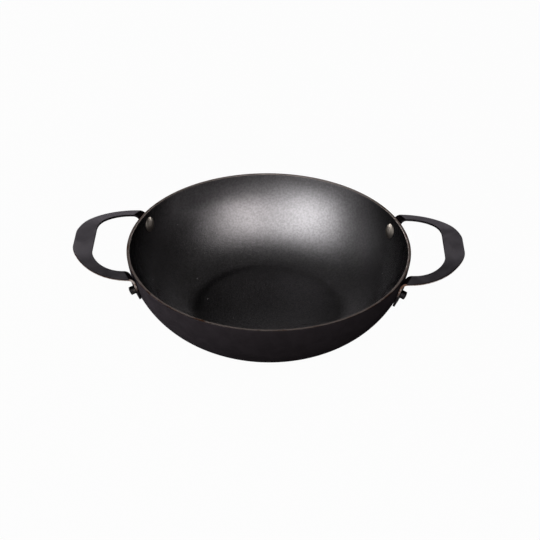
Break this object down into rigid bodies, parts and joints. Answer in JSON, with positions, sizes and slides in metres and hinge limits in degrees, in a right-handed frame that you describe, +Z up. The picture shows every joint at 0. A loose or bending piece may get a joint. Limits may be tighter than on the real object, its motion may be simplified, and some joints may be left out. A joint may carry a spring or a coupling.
{
  "type": "kadai",
  "caption": "Round-bottomed pressed iron kadai with a small flat base and a flat-cut rim, with a bent plate loop handle riveted on each side.",
  "frame": {"origin": "centre of the base's underside, where the pan stands", "axes": "+X through the middle of the right handle, +Z up through the bowl's mouth"},
  "size_m": [0.356, 0.26, 0.0759],
  "materials": {
    "bowl_iron": "seasoned, dark and satin",
    "handle_iron": "bare, dull grey",
    "rivet_steel": "bright heads inside, dull tails outside"
  },
  "bodies": {
    "root": {"bowl": "bowl_iron", "left_handle": "handle_iron", "right_handle": "handle_iron", "left_back_rivet": "rivet_steel", "left_front_rivet": "rivet_steel", "right_back_rivet": "rivet_steel", "right_front_rivet": "rivet_steel"}
  },
  "joints": []
}
